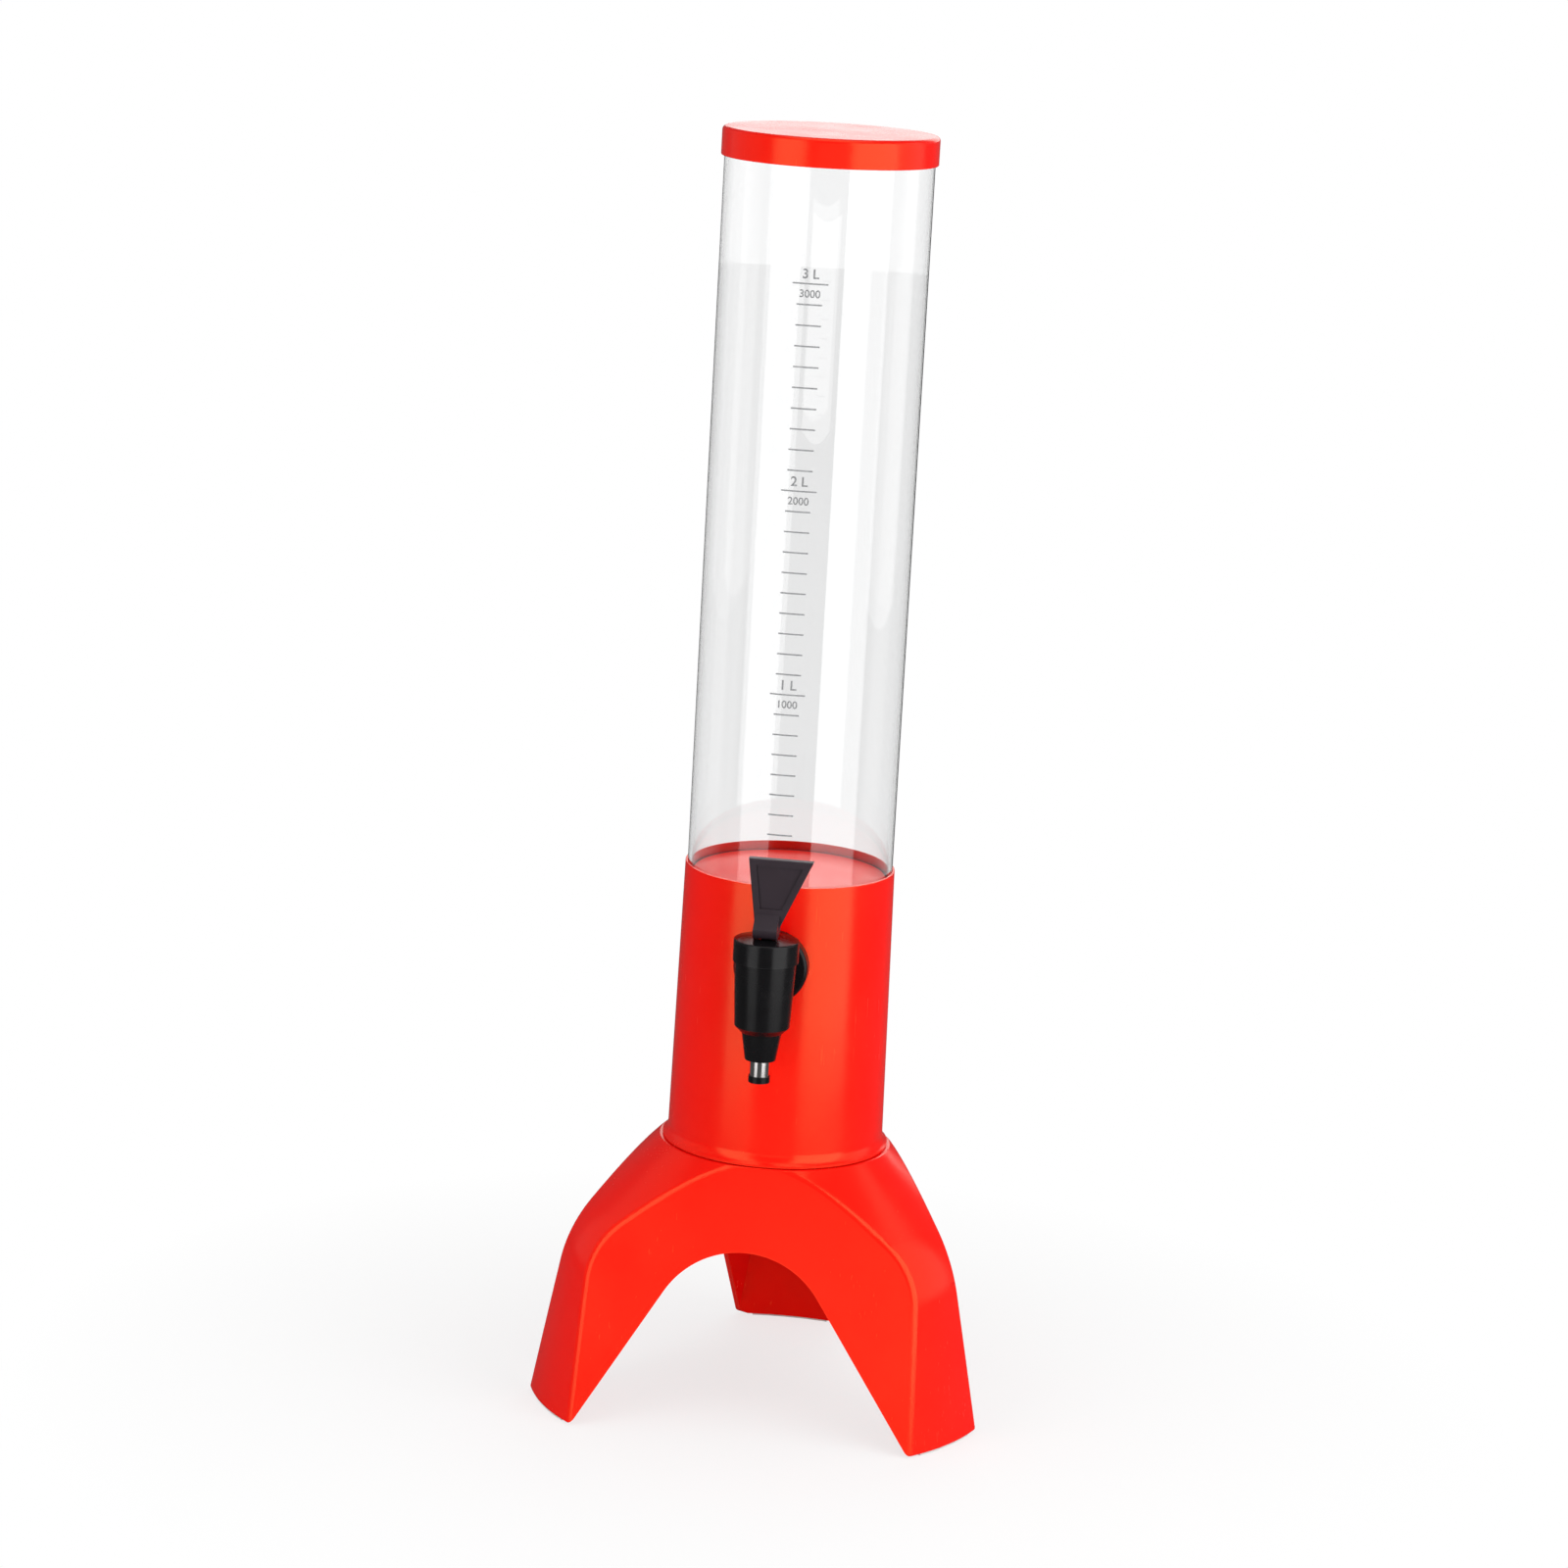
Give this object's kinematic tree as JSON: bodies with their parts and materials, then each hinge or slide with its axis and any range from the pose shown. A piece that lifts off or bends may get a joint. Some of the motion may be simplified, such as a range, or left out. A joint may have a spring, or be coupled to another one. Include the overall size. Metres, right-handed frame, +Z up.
{
  "type": "beer tower dispenser",
  "caption": "Tabletop drink tower with a clear graduated tube, lift-off lid, three-legged moulded base and a front lever tap with a spring-closed valve.",
  "frame": {"origin": "point on the table on the tube's axis, between the three feet", "axes": "+Z up along the tube's axis, -Y towards the side with the tap, +X to the right seen from the tap"},
  "size_m": [0.2482, 0.2332, 0.7006],
  "materials": {
    "red_plastic": "glossy moulded",
    "clear_tube": "clear, polished",
    "black_plastic": "glossy moulded",
    "spout_steel": "polished",
    "screw_steel": "machined",
    "rubber": "matt moulded",
    "silicone": "translucent silicone",
    "ink": "screen print"
  },
  "bodies": {
    "tower": {"tripod_base": "red_plastic", "foot_pads": "silicone", "base_screws": "screw_steel", "housing": "red_plastic", "tank_floor": "red_plastic", "floor_screws": "screw_steel", "tube_gasket": "rubber", "tank_tube": "clear_tube", "level_scale": "ink", "drain_hose": "silicone", "hose_clips": "screw_steel", "tap_flange": "black_plastic", "flange_gasket": "rubber", "inner_washer": "rubber", "lock_nut": "black_plastic", "tap_body": "black_plastic", "tap_bonnet": "black_plastic", "stem_ring": "rubber", "spring_washer": "screw_steel", "valve_spring": "screw_steel", "spout_tube": "spout_steel", "spout_tip": "black_plastic"},
    "lid": {"lid": "red_plastic", "lid_seal": "silicone"},
    "stem": {"valve_stem": "black_plastic", "valve_seal": "silicone"},
    "handle": {"tap_handle": "black_plastic", "handle_pin": "screw_steel"}
  },
  "joints": [
    {"name": "lid_lift", "type": "slide", "parent": "tower", "child": "lid", "axis": [0, 0, 1], "range_m": [0, 0.12]},
    {"name": "stem_lift", "type": "slide", "parent": "tower", "child": "stem", "axis": [0, 0, 1], "range_m": [0, 0.004], "deforming": ["valve_spring"]},
    {"name": "handle_pull", "type": "hinge", "parent": "stem", "child": "handle", "pos_m": [0, -0.086, 0.2867], "axis": [1, 0, 0], "range_deg": [0, 40], "stiffness_Nm_per_rad": 0.033, "springref_deg": -45.84}
  ],
  "couplings": [
    {"joint": "stem_lift", "follows": "handle_pull", "m_per_rad": 0.0057}
  ]
}
